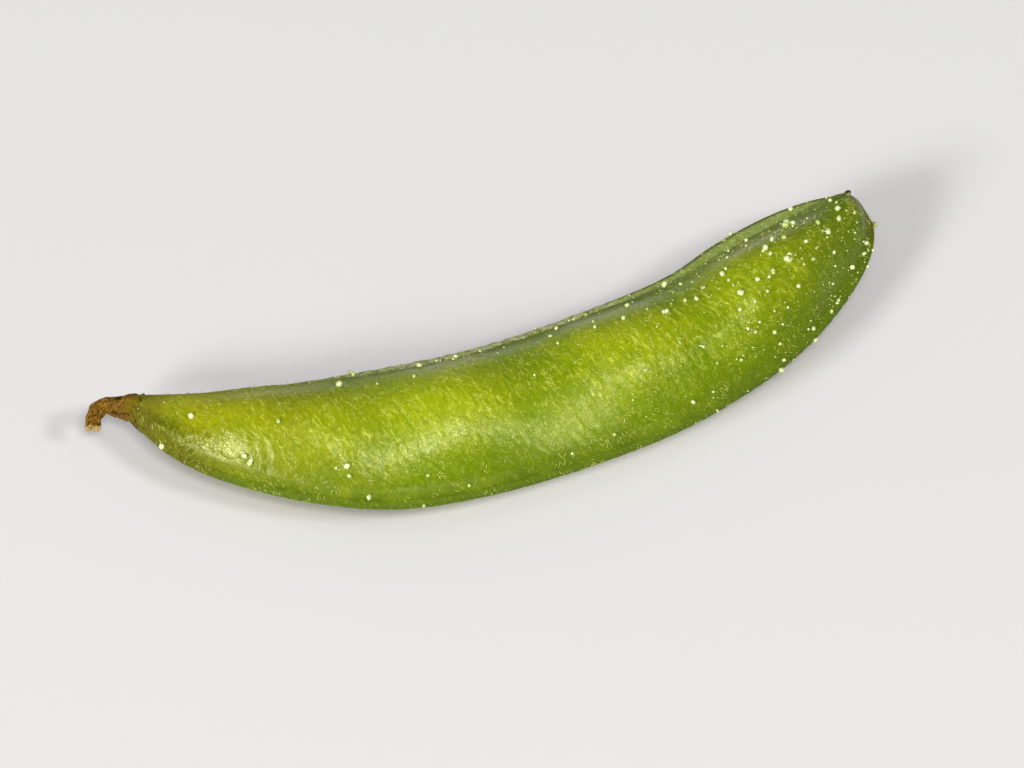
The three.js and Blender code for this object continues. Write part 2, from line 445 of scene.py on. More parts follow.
# Waves are given by height, number, shortest and longest length, and seed. Of two values for a
# seam, the first is for the straight one and the second for the bulging one.
reliefPlan = {
    "start": (0.01, 0.09),  # shares of the length from nothing to all
    "end": (0.99, 0.94),
    "swell": (0.045, 16, 4, 11, 21),
    "veins": (0.008, 30, 0.6, 1.5, 12),
    "veinSpread": 0.5,
    "folds": (1, 12, 1.6, 3.6, 13),
    "foldTurn": 0.35,  # from the lie of the hairs
    "foldSpread": 0.35,
    "crease": (0.7, 0.025, 0.1),  # folds above this crease, depth, share of it on the beans
    "grain": (0.003, 24, 0.3, 0.7, 14),
    "valveEdge": 0.8,  # how softly the valve's relief begins beside a margin
    "rib": ((0.03, 0.1, 0.2), (0.04, 0.15, 0.12)),  # height, distance from the seam, width
    "wavy": (0.025, 0.008),
    "wavyWaves": (1, 14, 0.5, 1.6, 15),
    "wavyPlace": (0.3, 0.5),  # distance from the seam, width
    "smoothing": 0.8,  # the share of its roughness that the straight seam loses
    "meeting": (0.1, 0.05),
    "meetingWidth": 0.06,
}


# Height of the fine relief: low swells, oblique veins, creases in the waists, an uneven rib along
# each seam, and the fine line where the two valves meet.
def podRelief(s, angle, points):
    plan, lean = reliefPlan, -podForm["hairLie"][0]
    inside = np.clip(s, 0, 1)
    gap, straight = fromSeam(inside, angle), np.cos(angle) > 0
    fullness, margin = marginWidth(inside, straight)
    valve = rolling(points, *plan["swell"]) + rolling(points, *plan["grain"])
    valve = valve + rolling(points, *plan["veins"], lean, plan["veinSpread"])
    fold = rolling(points, *plan["folds"], lean - plan["foldTurn"], plan["foldSpread"])
    least, depth, onBeans = plan["crease"]
    waist = 1 - np.clip(beanShare(inside, np.cos(angle)), 0, 1)
    valve = valve - depth * np.clip(fold - least, 0, None) * (onBeans + waist)
    ragged = 1 - plan["smoothing"] * seamSmoothness(inside) * straight
    ribs = [height * bell(gap, place, width) for height, place, width in plan["rib"]]
    wavy = rolling(points, *plan["wavyWaves"]) * bell(gap, *plan["wavyPlace"])
    seam = ragged * (np.where(straight, *ribs) + np.where(straight, *plan["wavy"]) * wavy)
    meeting = bell(np.sin(angle), 0, plan["meetingWidth"])
    seam = seam - np.where(straight, *plan["meeting"]) * meeting
    body = rise(s, *plan["start"]) * rise(s, *plan["end"])
    return body * (valve * smoothStep((gap - margin) / plan["valveEdge"]) + seam * fullness)


# The skin's points with relief, and its outward normals.
def podSkin(s, angle):
    body = podBody(s, angle)
    _, _, normal = podTangents(s, angle)
    return body + normal * podRelief(s, angle, body)[..., None], normal


print("pod form ready")

# The skin's grid of rings, and how far the rings crowd towards the ends.
skinPlan = {"rings": 612, "sides": 156, "crowding": 0.3}

shares = np.linspace(0, 1, skinPlan["rings"])
shares = (1 - skinPlan["crowding"]) * shares + skinPlan["crowding"] * (1 - np.cos(np.pi * shares)) / 2
shares *= podForm["tipEnd"]
ringShare, ringAngle = np.meshgrid(shares, ringAngles(skinPlan["sides"]), indexing="ij")
skinPoints, _ = podSkin(ringShare, ringAngle)

# The table presses the lowest beans flat, and the pod's own box gives its place in the frame.
tableLevel = skinPoints[..., 2].min() + podForm["restFlat"]
podLow, podHigh = (np.array(corner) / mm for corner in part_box("pod"))
shift = np.array([
    (podLow[0] + podHigh[0] - skinPoints[..., 0].min() - skinPoints[..., 0].max()) / 2,
    (podLow[1] + podHigh[1] - skinPoints[..., 1].min() - skinPoints[..., 1].max()) / 2,
    -tableLevel,
])


# Points moved to their place in the frame. Below the table they are turned up to it softly.
def placed(points):
    moved = points + shift
    edge = podForm["restEdge"]
    moved[..., 2] = (moved[..., 2] + np.sqrt(moved[..., 2] ** 2 + edge**2)) / 2
    return moved


skinPoints = placed(skinPoints)
flatShare, flatAngle = ringShare.ravel(), ringAngle.ravel()
cosine = np.cos(flatAngle)
seamGap = fromSeam(np.clip(flatShare, 0, 1), flatAngle)
onStraight = cosine > 0
_, seamMargin = marginWidth(np.clip(flatShare, 0, 1), onStraight)

# The band beside the seam round the pod's end, in millimetres and in shares of the length.
endPlan = {
    "start": 0.915,
    "reach": 0.88,  # no point before this is near the band
    "width": 0.85,
    "widening": (0.45, 0.95, 0.98),  # how much wider, from where, and by where
    "softness": 0.45,
}


# How near each point is, seen from above, to the seam round the pod's end: 1 beside it, 0 beyond
# the band, which widens towards the tip.
def endBand():
    plan = endPlan
    seam = skinPoints[shares > plan["start"], skinPlan["sides"] // 2, :2][::2]
    seen = skinPoints[..., :2].reshape(-1, 1, 2)
    near = flatShare > plan["reach"]
    distance = np.full(len(flatShare), podLength)
    distance[near] = np.linalg.norm(seen[near] - seam, axis=2).min(axis=1)
    more, start, end = plan["widening"]
    width = plan["width"] + more * rise(flatShare, start, end)
    return smoothStep((width - distance) / plan["softness"])


seamSoftness = 0.7 + 0.8 * seamSmoothness(flatShare)
skinFields = {
    "bean": beanShare(flatShare, cosine),
    "along": flatShare,
    "lie": lieAt(flatShare),
    # The straight seam's band, its own grey with painted sheen, and its dark line, a joint line with
    # painted shade; and the bulging seam's rim, with painted shade.
    "straightSeam": onStraight * (1 - smoothStep((seamGap - seamMargin) / seamSoftness)),
    "smoothSeam": seamSmoothness(flatShare),
    "meeting": onStraight * bell(seamGap, 0, 0.14 + 0.26 * rise(flatShare, 0.55, 0.75)),
    "bulgingSeam": ~onStraight * rise(seamGap, 0.35, 0.05),
    "endSeam": endBand(),
    # Painted shade: darker where the valve turns down to a seam, past the neck on the straight side.
    "margin": bell(seamGap, 0, 2.5) * np.where(
        onStraight, rise(flatShare, 0.1, 0.4), rise(cosine, 0, -0.45)
    ),
    # Without gloss beside the seams, farther in on the straight side.
    "matt": rise(seamGap, np.where(onStraight, 3.8, 1.2), 0.6) * np.where(
        onStraight, rise(cosine, 0, 0.45), 1
    ),
    # Painted shade: darker in the waist between the first two beans.
    "waistShade": bell(flatShare, 0.195, 0.03) * bell(cosine, 0.1, 0.55),
}
skin = makeTube("skin", skinPoints, skinFields, shares / shares[-1])

skinLook = {
    "green": (0.245, 0.330, 0.002),
    "deepGreen": (0.120, 0.195, 0.001),
    "beanYellow": (0.305, 0.365, 0.002),
    "olive": (0.350, 0.330, 0.004),
    # painted shade in the waist between the first two beans
    "waistShadeOlive": (0.190, 0.208, 0.002),
    # deep green towards the beak, partly painted shade
    "beakGreenAndShade": (0.120, 0.165, 0.002),
    "thread": (0.520, 0.570, 0.070),
    # grey of the rough straight seam, partly painted sheen
    "seamGreyAndSheen": (0.480, 0.490, 0.260),
    "seamBrown": (0.150, 0.160, 0.040),
    "ribbonGreen": (0.170, 0.225, 0.035),
    # grey of the smooth ribbon, partly painted sheen
    "ribbonGreyAndSheen": (0.300, 0.340, 0.140),
    # the valves' meeting line, partly painted shade
    "seamLineAndShade": (0.060, 0.058, 0.018),
    # painted shade along the bulging seam's rim
    "rimShadeGreen": (0.080, 0.130, 0.005),
    "neckOlive": (0.170, 0.145, 0.010),
    # painted shade along the neck's edges
    "neckEdgeShade": (0.095, 0.080, 0.003),
    "darkEndGreen": (0.120, 0.125, 0.012),
    "endOlive": (0.115, 0.112, 0.004),
    "endDark": (0.045, 0.046, 0.003),
    # painted shade on the strips where the valve turns down to a seam
    "edgeShadeGreen": (0.070, 0.118, 0.001),
    "tipBrown": (0.045, 0.035, 0.010),
    "freckle": (0.220, 0.170, 0.020),
    "shine": (1.0, 1.0, 0.5),  # the tint of its gloss
}
skinRoughness = 0.19


# Colours laid one over another, wet and glossy but for the strips beside the seams.
def skinMaterial():
    made = Recipe("boiled pod skin", skinLook)
    # Points turned so that their first direction is the lie of the hairs. They turn about the
    # crest at 0.72 of the length, where the hairs turn too.
    combed = made.add(
        "ShaderNodeVectorRotate", {"rotation_type": "Z_AXIS"}, Vector=made.coordinates(),
        Center=placed(podBody(*np.array([0.72, 0.5 * np.pi]))) * mm, Angle=made.field("lie"),
    ).outputs["Vector"]
    broad = made.noise((9, 6, 6), 3, 0.55, 0.4)
    patch = made.noise((3.2, 2.2, 2.2), 4, 0.6, 0.6, given=combed)
    streak = made.noise((1.7, 0.3, 0.4), 3, 0.6, 0.6, given=combed)
    thread = made.noise((1.1, 0.26, 0.3), 2, 0.5, 1.2, given=combed)
    speckle = made.noise((0.36, 0.26, 0.26), 2, 0.6, 0.8, given=combed)
    scuff = made.noise((0.42, 0.2, 0.2), 3, 0.65, 0.5, turn=-0.1)
    fine = made.noise(0.09, 2, 0.6)
    bean, along, margin = made.field("bean"), made.field("along"), made.field("margin")

    # Green patches, yellow on the beans, olive at the neck, and deep green towards the beak, partly its
    # own green and partly painted shade.
    made.colour = made.blend(made.ramp(broad, 0.35, 0.68), "deepGreen", "green")
    made.lay("beanYellow", made.ramp(bean, 0.1, 0.85), made.ramp(patch, 0.3, 0.66, 0.3, 1))
    made.lay("olive", made.ramp(along, 0.36, 0.1), made.ramp(broad, 0.3, 0.6, 0.4, 0.85))
    # Painted shade: darker olive in the waist between the first two beans.
    made.lay("waistShadeOlive", made.field("waistShade"), made.ramp(patch, 0.3, 0.6, 0.6, 1), 0.8)
    made.lay("beakGreenAndShade", made.ramp(along, 0.7, 0.93), made.ramp(broad, 0.3, 0.6, 0.55, 0.95))

    # Light and dark streaks, pale threads and speckles, all combed along the hairs.
    light = made.blend(0.5, made.colour, "beanYellow")
    made.lay(light, made.ramp(streak, 0.5, 0.7, 0, 0.7))
    dark = made.blend(0.6, made.colour, "deepGreen")
    made.lay(dark, made.ramp(streak, 0.48, 0.3, 0, 0.7))
    made.lay("thread", made.ramp(thread, 0.54, 0.68), made.ramp(patch, 0.42, 0.62, 0.35, 0.85))
    made.lay(dark, made.ramp(speckle, 0.48, 0.3, 0, 0.85))
    made.lay("thread", made.ramp(speckle, 0.58, 0.74, 0, 0.6))

    # The seams: painted shade on the margins, the scuffed straight seam with its line, and the bulging
    # rim.
    made.lay("edgeShadeGreen", margin, made.ramp(patch, 0.3, 0.7, 0.6, 0.95))
    # The straight seam's grey and the smooth ribbon's grey are partly their own colour and partly
    # painted sheen.
    seam = made.blend(made.ramp(scuff, 0.35, 0.62), "seamBrown", "seamGreyAndSheen")
    ribbonWithSheen = made.blend(made.ramp(scuff, 0.35, 0.75), "ribbonGreen", "ribbonGreyAndSheen")
    seam = made.blend(made.field("smoothSeam"), seam, ribbonWithSheen)
    made.lay(seam, made.ramp(made.field("straightSeam"), 0.1, 0.9, 0, 0.9))
    # The dark line where the valves meet: partly the joint's own colour, partly painted shade.
    made.lay("seamLineAndShade", made.ramp(made.field("meeting"), 0.2, 0.8, 0, 0.8))
    # Painted shade: a dark rim along the bulging seam.
    made.lay("rimShadeGreen", made.ramp(made.field("bulgingSeam"), 0.1, 0.8, 0, 0.9))

    # A few freckles, and the browner neck.
    dots = made.add("ShaderNodeTexVoronoi", {"feature": "F1"}, Vector=made.place(2.4), Scale=1)
    freckle = made.ramp(dots.outputs["Distance"], 0.11, 0.03)
    made.lay("freckle", freckle, made.ramp(broad, 0.5, 0.65), 0.5)
    made.lay("neckOlive", made.ramp(along, 0.065, 0.02, 0, 0.85))
    low = made.ramp(along, 0.15, 0.07)
    # Painted shade in dark specks along the neck's edges.
    made.lay("neckEdgeShade", margin, low, made.ramp(speckle, 0.56, 0.44, 0.35, 1))

    # The darker end with its olive band, the band's dark edge and the brown tip.
    made.lay("darkEndGreen", made.ramp(along, 0.955, 0.99), made.ramp(patch, 0.3, 0.6, 0.35, 0.8))
    band, begun = made.field("endSeam"), made.ramp(along, 0.915, 0.95)
    made.lay("endOlive", made.ramp(band, 0.4, 1, 0, 0.75), begun)
    border, broken = made.ramp(band, 0.95, 0.5, 0.35, 1), made.ramp(patch, 0.4, 0.55, 0.5, 0.95)
    made.lay("endDark", made.ramp(band, 0, 0.4), border, begun, broken)
    made.lay("tipBrown", made.ramp(along, 0.985, 0.998))

    rough = made.plus(made.ramp(patch, 0.3, 0.7, -0.02, 0.08), skinRoughness)
    rough = made.plus(rough, made.ramp(bean, 0.7, 0.3, 0, 0.01))
    rough = made.plus(rough, made.ramp(made.field("matt"), 0, 1, 0, 0.55))
    normal = made.bump(fine, 0.004, 0.7)
    normal = made.bump(speckle, 0.022, 1, normal)
    normal = made.bump(thread, 0.012, 1, normal)
    return made.finish(
        Base_Color=made.colour, Roughness=rough, Normal=normal, IOR=1.36,
        Specular_Tint="shine",
        Subsurface_Weight=0.12, Subsurface_Scale=0.8 * mm, Subsurface_Radius=(1.0, 1.0, 0.25),
    )


skin.data.materials.append(skinMaterial())
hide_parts("pod")
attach(skin, "root")
print("skin made")

# The withered calyx: a cup round the stalk's end, with ragged teeth that lie on the neck.
calyxPlan = {
    "rings": 44,
    "sides": 144,
    "cup": 1.5,  # from the neck to the stalk
    "collar": 0.12,  # how far the cup reaches onto the neck between its teeth
    "teeth": [  # angle in degrees, length, half width in degrees
        (12, 0.75, 26), (78, 1.15, 30), (118, 0.45, 16), (165, 0.8, 26), (232, 1.05, 30),
        (278, 0.4, 18), (318, 0.85, 28),
    ],
    "toothPoint": 1.3,
    "rimWaves": [(0.06, 9, 0, 1), (0.04, 17, 0, 0)],  # height, count, twist, phase
    "ridges": [(0.045, 5, 0, -0.4), (0.022, 11, 3, 0)],
    "crumples": (0.032, 22, 0.35, 1.2, 21),  # height, number, shortest, longest, seed
    "outside": 0.09,
    "inside": 0.01,
    "curl": (0.16, 0.45, 1.25),  # how far the teeth stand up, from where, and by where
    "neckRadius": 0.93,
    "stalkRadius": 0.60,
}

# Across the neck in plan, and along it away from the pod.
neckOut = np.array([*unit(upperRail[0] - lowerRail[0]), 0])
neckAway = np.array([-neckOut[1], neckOut[0], 0])


# The calyx as a sleeve round the neck. Its distance runs from the stalk's end of the cup to the
# rim, which ragged teeth carry forward onto the pod. On the pod it follows the skin at a small
# height, and behind the neck it narrows to the stalk. Ridges and crumples shrivel its outside.
def calyxSleeve(v, angle, height, shrivelled):
    plan = calyxPlan
    rim = plan["collar"] + wavesRound(plan["rimWaves"], angle)
    for degrees, length, halfWidth in plan["teeth"]:
        off = np.abs((angle - math.radians(degrees) + np.pi) % (2 * np.pi) - np.pi)
        tooth = np.clip(1 - off / math.radians(halfWidth), 0, 1) ** plan["toothPoint"]
        rim = np.maximum(rim, plan["collar"] + length * tooth)
    distance = -plan["cup"] + (plan["cup"] + rim) * v
    onPod = np.maximum(distance, 0) / podLength
    points, normal = podSkin(onPod, angle)
    place = np.stack([np.cos(angle), np.sin(angle), distance], -1)
    uneven = wavesRound(plan["ridges"], angle, v) + rolling(place, *plan["crumples"])
    lifted = height * (1 - 0.5 * v**3) + uneven * shrivelled
    curl, start, end = plan["curl"]
    points = points + normal * (lifted + curl * rise(distance, start, end))[..., None]
    behind = smoothStep(-distance / plan["cup"])
    radius = plan["neckRadius"] + (plan["stalkRadius"] - plan["neckRadius"]) * behind + lifted
    ring = place[..., :1] * neckOut + place[..., 1:2] * (0, 0, 1)
    ring = neckAway * np.maximum(-distance, 0)[..., None] + radius[..., None] * ring
    return np.where((distance < 0)[..., None], ring, points)


sleeveShare, sleeveAngle = np.meshgrid(
    np.linspace(0, 1, calyxPlan["rings"]), ringAngles(calyxPlan["sides"]), indexing="ij"
)
outer = calyxSleeve(sleeveShare, sleeveAngle, calyxPlan["outside"], 1)
inner = calyxSleeve(sleeveShare[::-1], sleeveAngle, calyxPlan["inside"], 0)
rimShare = np.concatenate([sleeveShare, sleeveShare[::-1]]).ravel()
calyx = makeTube("withered_calyx", placed(np.concatenate([outer, inner])), {"rim": rimShare})

calyxLook = {
    "brown": (0.135, 0.064, 0.006),
    "dark": (0.018, 0.009, 0.003),
    "tan": (0.300, 0.175, 0.028),
    "olive": (0.150, 0.118, 0.003),
    "shine": (1.0, 0.85, 0.4),
}


# Brown and tan fibres with dark blotches, olive towards the rim.
def calyxMaterial():
    made = Recipe("withered calyx", calyxLook)
    fibre = made.noise((0.9, 0.14, 0.2), 4, 0.6, 0.4, turn=0.3)
    blotch = made.noise(0.7, 3, 0.6, 0.6)
    made.colour = made.blend(made.ramp(fibre, 0.45, 0.7), "brown", "tan")
    made.lay("olive", made.ramp(made.field("rim"), 0.5, 0.8, 0, 0.8))
    made.lay("dark", made.ramp(blotch, 0.51, 0.61, 0, 0.9))
    rough = made.ramp(blotch, 0.3, 0.7, 0.6, 0.85)
    return made.finish(
        Base_Color=made.colour, Roughness=rough, Normal=made.bump(fibre, 0.05, 0.8),
        IOR=1.25, Specular_Tint="shine",
    )


calyx.data.materials.append(calyxMaterial())
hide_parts("calyx")
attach(calyx, "root")
print("calyx made")

# The dried, hooked stalk.
stalkPlan = {
    "route": [
        (0.27, -0.13, 0), (-0.45, 0.13, 0), (-1.02, -0.02, -0.05), (-1.46, -0.42, -0.2),
        (-1.70, -0.88, -0.36), (-1.80, -1.22, -0.46),
    ],
    "start": 1.5,  # from the neck's end
    "rings": 110,
    "sides": 48,
    "capRings": 8,
    "radius": 0.65,
    "narrowing": 0.14,  # the share that it is thinner by at the broken end
    "bulges": [(0.3, 0.12, -0.06), (0.5, 0.06, 0.05), (0.66, 0.05, -0.04)],  # place, spread, height
    "ridges": [(0.03, 7, 2.2, 0), (0.018, 13, -3, 1)],  # height, count, twist, phase
    "lumps": (0.028, 22, 0.45, 1.5, 31),  # height, number, shortest, longest, seed
    "lumpStretch": 6,
    "ragged": [(0.09, 3, 0, 0.6), (0.05, 8, 0, 0), (0.04, 13, 0, 2)],
    "raggedFrom": 0.93,
    "scarDepth": 0.22,
    "scarRim": 0.08,
}


# The stalk: a round carried along the route. Its radius has lengthwise ridges, waists, bulges
# and lumps, and narrows to the broken end, whose edge is ragged and whose middle is sunk.
def stalkRings():
    plan = stalkPlan
    line = smoothLine(plan["route"], plan["rings"]) + neckAway * plan["start"]
    line[:, :2] = softened(line[:, :2], 3)
    tangent = unit(np.gradient(line, axis=0))
    side = unit(np.cross(tangent, (0, 0, 1)))
    top = np.cross(side, tangent)
    along = np.linspace(0, 1, plan["rings"])[:, None]
    angle = -ringAngles(plan["sides"])[None, :]
    radius = plan["radius"] * (1 - plan["narrowing"] * along)
    for place, spread, height in plan["bulges"]:
        radius = radius + height * bell(along, place, spread)
    radius = radius + wavesRound(plan["ridges"], angle, along)
    spot = np.broadcast_arrays(np.cos(angle), np.sin(angle), plan["lumpStretch"] * along)
    radius = radius + rolling(np.stack(spot, -1), *plan["lumps"])
    ragged = wavesRound(plan["ragged"], angle) * rise(along, plan["raggedFrom"], 1)
    push = ragged[..., None] * tangent[:, None, :]
    around = np.cos(angle)[..., None] * side[:, None, :] + np.sin(angle)[..., None] * top[:, None, :]
    rings = line[:, None, :] + radius[..., None] * around + push
    inward = np.linspace(0, 1, plan["capRings"] + 1)[1:, None, None]
    middle = line[-1] - tangent[-1] * plan["scarDepth"]
    closing = rings[-1] + (middle - rings[-1]) * inward**0.9
    rim = np.sin(np.pi * np.minimum(inward * 1.6, 1))
    closing = closing + tangent[-1] * plan["scarRim"] * rim
    return np.concatenate([rings, closing[:-1]]), np.stack([line[0], middle])


stalkPoints, stalkEnds = map(placed, stalkRings())
stalkAlong = np.arange(len(stalkPoints)) / (stalkPlan["rings"] - 1)
stalkAlong = np.repeat(stalkAlong, stalkPlan["sides"])
stalk = makeTube("dried_stalk", stalkPoints, {"along": stalkAlong}, ends=stalkEnds)

stalkLook = {
    "brown": (0.150, 0.072, 0.004),
    "tan": (0.280, 0.138, 0.018),
    "dark": (0.018, 0.008, 0.002),
    "pale": (0.480, 0.330, 0.130),
    "shine": (1.0, 0.8, 0.4),
}


# Mottled brown, dark at the calyx and in specks, with a pale scar at the broken end.
def stalkMaterial():
    made = Recipe("dried stalk", stalkLook)
    blotch = made.noise(0.5, 4, 0.65, 0.5)
    speck = made.noise(0.22, 2, 0.6, 0.2)
    along = made.field("along")
    made.colour = made.blend(made.ramp(blotch, 0.38, 0.62), "brown", "tan")
    made.lay("dark", made.ramp(speck, 0.53, 0.62, 0, 0.9))
    made.lay("dark", made.ramp(along, 0.24, 0.02, 0, 0.75))
    made.lay("pale", made.ramp(along, 0.985, 1.01, 0, 0.85))
    rough = made.ramp(blotch, 0.3, 0.7, 0.5, 0.8)
    return made.finish(
        Base_Color=made.colour, Roughness=rough, Normal=made.bump(blotch, 0.06, 0.8),
        IOR=1.25, Specular_Tint="shine",
    )


stalk.data.materials.append(stalkMaterial())
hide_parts("stalk")
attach(stalk, "root")
print("stalk made")

# The silvery hairs that lie along the skin.
hairPlan = {
    "seed": 5,
    "tries": 90000,
    "fine": {"count": 9000, "length": (0.25, 0.6), "radius": 0.014, "stray": 0.35},
    # Tufts: hairs that lie side by side in small groups, with a gap between them. The hairs are
    # set back or forward, and stray from their tuft's lie.
    "tufts": {
        "count": 700, "hairs": 4, "gap": 0.18, "uneven": 0.07, "stagger": 0.22,
        "length": (0.2, 0.6), "radius": 0.025, "stray": 0.4, "apart": 0.12,
    },
    "sway": (0.4, 12, 2, 6, 41),  # how neighbours turn together: waves in radians
    "curl": 0.3,  # how far a hair's end strays sideways, as a share of its length
    "standing": 0.08,  # share of the hairs that stand away from the skin
    "standingLift": (0.1, 0.3),
    "lyingLift": (0.005, 0.03),
    "sunk": 0.03,  # how deep a hair starts in the skin
    "taper": (1.15, 1.0, 0.7),
    "oval": (1.2, 0.5),  # its width and height as shares of the radius
    "bare": (0.006, 0.985),  # no hairs before and past these shares of the length
}


# Places on the skin, even by area times the wanted density.
def scatter(rng, tries, count, density):
    s, angle = rng.uniform(0.01, 0.985, tries), rng.uniform(0, 2 * np.pi, tries)
    alongS, around, _ = podTangents(s, angle)
    weight = np.linalg.norm(np.cross(around, alongS), axis=-1) * density(s, angle)
    order = np.argsort(rng.uniform(0, 1, tries) ** (1 / np.maximum(weight, 1e-9)))[::-1]
    return s[order[:count]], angle[order[:count]]


# A band beside the straight seam, by its distance from the seam and its width.
def straightBand(s, angle, place, width):
    return np.where(np.cos(angle) > 0, bell(fromSeam(s, angle), place, width), 0)


# Shares of the length and angles per millimetre walked over the skin at a lean from +X.
def walk(s, angle, lean):
    alongS, around, _ = podTangents(s, angle)
    towards = np.where(np.sin(angle) > 0, 1, -1)
    stepAngle = towards * np.sin(lean) / np.maximum(np.linalg.norm(around, axis=1), 0.6)
    return np.cos(lean) / np.linalg.norm(alongS, axis=1), stepAngle


# Where the hairs root: fine ones everywhere, more at the seams and the neck, and tufts in
# patches. Gives share, angle, lean, length, radius and shade of each.
def hairRoots(rng):
    plan, fine, tufts = hairPlan, hairPlan["fine"], hairPlan["tufts"]

    # More within a millimetre of the seams and at the neck.
    def everywhere(s, angle):
        return 1 + 1.6 * bell(fromSeam(s, angle), 0.4, 1.0) + 0.7 * bell(s, 0.02, 0.08)

    # In rolling patches, and thick beside the straight seam's middle.
    def inPatches(s, angle):
        patches = smoothStep(0.3 + rolling(podBody(s, angle), 0.8, 14, 3.5, 9, 42))
        return 0.12 + patches + 2 * straightBand(s, angle, 0.35, 0.35) * bell(s, 0.45, 0.25)

    s, angle = scatter(rng, plan["tries"], fine["count"], everywhere)
    tuftS, tuftAngle = scatter(rng, plan["tries"] // 4, tufts["count"], inPatches)
    each = tufts["hairs"]
    members = tufts["count"] * each
    sideways = np.tile(np.arange(each) - (each - 1) / 2, tufts["count"]) * tufts["gap"]
    sideways = sideways + tufts["uneven"] * rng.normal(size=members)
    tuftS, tuftAngle = np.repeat(tuftS, each), np.repeat(tuftAngle, each)
    stray = np.repeat(tufts["stray"] * rng.normal(size=tufts["count"]), each)
    tuftLean = lieAt(tuftS) + stray
    onward = tufts["stagger"] * rng.normal(size=members)
    for lean, distance in ((tuftLean + np.pi / 2, sideways), (tuftLean, onward)):
        stepS, stepAngle = walk(tuftS, tuftAngle, lean)
        tuftS, tuftAngle = tuftS + stepS * distance, tuftAngle + stepAngle * distance
    lean = lieAt(s) + fine["stray"] * rng.normal(size=fine["count"])
    lean = np.r_[lean, tuftLean + tufts["apart"] * rng.normal(size=members)]
    length = np.r_[rng.uniform(*fine["length"], fine["count"]), rng.uniform(*tufts["length"], members)]
    radius = np.r_[np.full(fine["count"], fine["radius"]), np.full(members, tufts["radius"])]
    shade = np.r_[rng.uniform(0.02, 0.46, fine["count"]), rng.uniform(0.54, 0.98, members)]
    return np.r_[s, tuftS], np.r_[angle, tuftAngle], lean, length, radius, shade


# Each hair is a thin three-sided spike that leaves the skin, bends over and follows it: its
# points are points of the skin, stepped along the hair's lie, lifted by the hair's height.
# Hairs that would lie under the table are left out.
def hairMesh():
    plan = hairPlan
    rng, (first, last) = np.random.default_rng(plan["seed"]), plan["bare"]
    roots = np.stack(hairRoots(rng))
    _, _, normal = podTangents(roots[0], roots[1])
    foot = placed(podBody(roots[0], roots[1]))
    keep = ((foot[:, 2] > 0.3) | (normal[:, 2] > 0)) & (roots[0] > first) & (roots[0] < last)
    s, angle, lean, length, radius, shade = roots[:, keep]
    normal, count = normal[keep], keep.sum()
    lean = lean + rolling(foot[keep], *plan["sway"])
    curl = plan["curl"] * rng.normal(size=count) * length
    standing = rng.uniform(size=count) < plan["standing"]
    high, low = rng.uniform(*plan["standingLift"], count), rng.uniform(*plan["lyingLift"], count)
    lift = np.where(standing, high, low + radius / 2)
    ahead, aside = walk(s, angle, lean), walk(s, angle, lean + np.pi / 2)
    rings = []
    for k in range(4):
        forward, sideways = length * k / 3, curl * (k / 3) ** 2
        moved = [forward * a + sideways * b for a, b in zip(ahead, aside)]
        spot, up = podSkin(s + moved[0], angle + moved[1])
        risen = np.where(standing, (k / 3) ** 0.8, np.sin(k / 3 * np.pi * 0.62))
        height = (lift + plan["sunk"]) * risen - plan["sunk"]
        rings.append(spot + up * height[:, None])
    rings = np.stack(rings, 1)
    tangent = unit(np.gradient(rings, axis=1))
    side = unit(np.cross(tangent, normal[:, None, :]))
    over = np.cross(side, tangent)
    taper = np.array(plan["taper"])[None, :, None, None]
    thick = (radius * rng.uniform(0.75, 1.2, count))[:, None, None, None]
    turn = (np.pi / 2 - ringAngles(3))[None, None, :, None]
    wide, high = plan["oval"]
    around = wide * np.cos(turn) * side[:, :3, None, :] + high * np.sin(turn) * over[:, :3, None, :]
    body = rings[:, :3, None, :] + around * taper * thick
    points = placed(np.concatenate([body.reshape(count, 9, 3), rings[:, 3:]], 1))
    pattern = [(0, 2, 1)]
    for k in range(2):
        for j in range(3):
            a, b = 3 * k + j, 3 * k + (j + 1) % 3
            pattern += [(a, b, b + 3), (a, b + 3, a + 3)]
    pattern = np.array(pattern + [(6, 7, 9), (7, 8, 9), (8, 6, 9)])
    faces = (np.arange(count)[:, None, None] * 10 + pattern[None]).reshape(-1, 3)
    height = np.repeat([0.02, 0.33, 0.66, 0.98], [3, 3, 3, 1])
    cornerMap = np.stack([np.repeat(shade, pattern.size), np.tile(height[pattern].ravel(), count)], 1)
    return makeMesh("hairs", points.reshape(-1, 3), faces.tolist(), cornerMap)


hairs = hairMesh()

hairLook = {
    "root": (0.30, 0.37, 0.006),
    "fine": (0.34, 0.41, 0.012),
    "silver": (0.56, 0.62, 0.130),
    "tan": (0.52, 0.50, 0.090),
    "shine": (1.0, 1.0, 0.7),
}


# The map's first part is the hair's shade: fine hairs below a half, tuft hairs above.
def hairMaterial():
    made = Recipe("silvery hair", hairLook)
    given = made.add("ShaderNodeSeparateXYZ", Vector=made.coordinates("UV"))
    tuft = made.blend(made.ramp(given.outputs["X"], 0.75, 0.98), "silver", "tan")
    tone = made.blend(made.math("GREATER_THAN", given.outputs["X"], 0.5), "fine", tuft)
    made.colour = made.blend(made.ramp(given.outputs["Y"], 0.0, 0.35), "root", tone)
    return made.finish(Base_Color=made.colour, Roughness=0.3, IOR=1.45, Specular_Tint="shine")


hairs.data.materials.append(hairMaterial())
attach(hairs, "root")
print("hairs made")

# The grains of salt.
saltPlan = {
    "seed": 8,
    "tries": 8000,
    "count": 420,
    "size": (0.08, 0.42),
    "smallness": 3.4,  # more makes more of the grains small
    "clusters": 14,
    "clustered": 0.22,  # share of the grains that sit in a cluster
    "clusterSpread": 0.4,
    "stretch": (0.7, 1.15),
    "uneven": 0.09,  # how far a grain's corners stray, as a share of half its size
    "raised": 0.4,  # how far its middle is above the skin, as a share of its size
}


